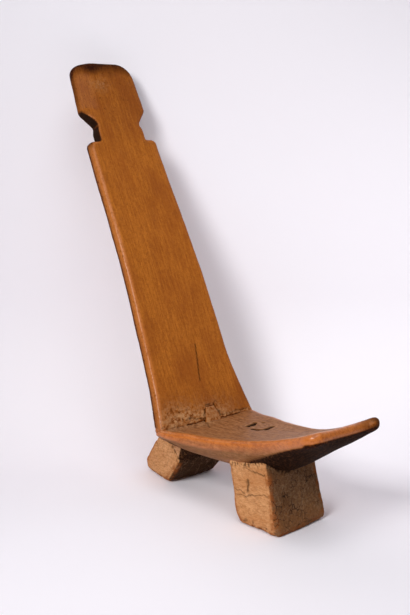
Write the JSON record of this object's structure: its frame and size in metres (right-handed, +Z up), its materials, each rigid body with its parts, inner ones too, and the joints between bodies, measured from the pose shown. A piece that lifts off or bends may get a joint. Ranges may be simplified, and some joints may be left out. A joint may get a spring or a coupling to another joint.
{
  "type": "african birthing chair",
  "caption": "Low carved wooden birthing chair: a tall leaning back board with a notched head, and a short dished, curled seat on two block legs.",
  "frame": {"origin": "on the floor, at the middle of the chair's outline seen from above", "axes": "+Z up, +Y towards the rear, behind the sitter, +X to the sitter's left"},
  "size_m": [0.254, 0.8666, 0.9214],
  "materials": {
    "back_wood": "oiled and handled, satin",
    "seat_wood": "worn smooth, satin, polished at the rim",
    "leg_wood": "dry and matt, finely cracked",
    "key_wood": "rubbed, satin",
    "wedge_wood": "as cut"
  },
  "bodies": {
    "root": {"seat": "seat_wood", "back_board": "back_wood", "face_key": "key_wood", "front_leg": "leg_wood", "rear_leg": "leg_wood", "back_tenon_wedge": "wedge_wood", "front_tenon_wedge": "wedge_wood", "rear_tenon_wedge": "wedge_wood"}
  },
  "joints": []
}
